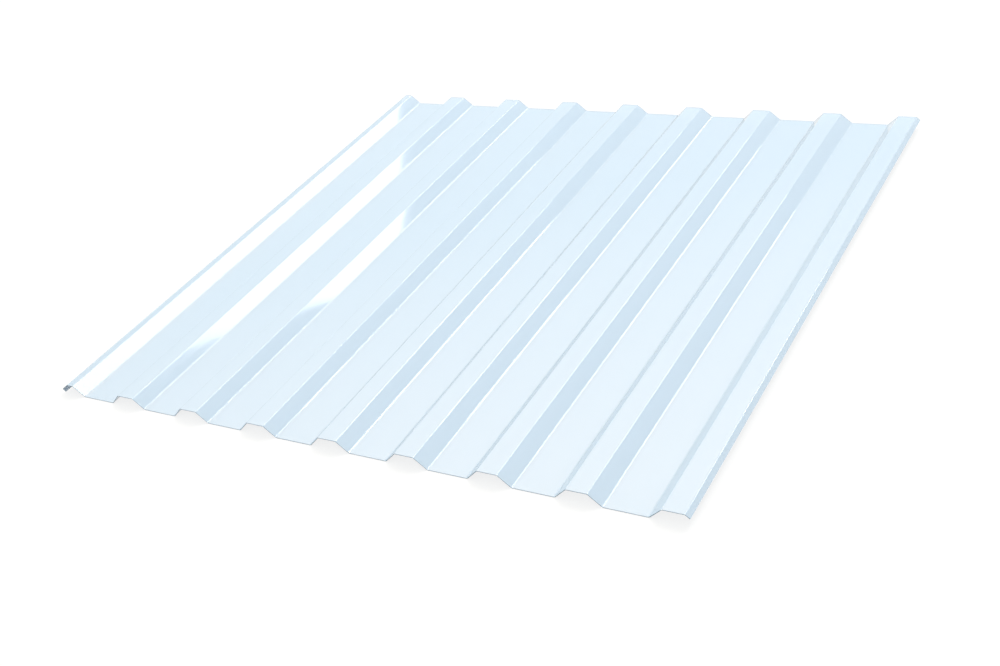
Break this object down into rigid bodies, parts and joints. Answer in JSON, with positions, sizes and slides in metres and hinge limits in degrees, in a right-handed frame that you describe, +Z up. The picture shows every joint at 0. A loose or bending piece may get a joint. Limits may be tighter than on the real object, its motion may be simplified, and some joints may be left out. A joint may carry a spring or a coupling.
{
  "type": "trapezoidal pvc sheet",
  "caption": "Trapezoidal PVC roofing sheet, clear pale blue, with flat-topped ribs, a folded underlap edge and a short overlap lip.",
  "frame": {"origin": "middle of the rectangle that the sheet covers, on the plane its pans rest on", "axes": "X across the ribs from the underlap edge to the overlap edge, Y along the ribs, Z up from the pans to the rib tops"},
  "size_m": [1.1362, 1.078, 0.019],
  "materials": {
    "profiled_sheet": "glossy, clear with a pale blue tint"
  },
  "bodies": {
    "root": {"profiled_sheet": "profiled_sheet"}
  },
  "joints": []
}
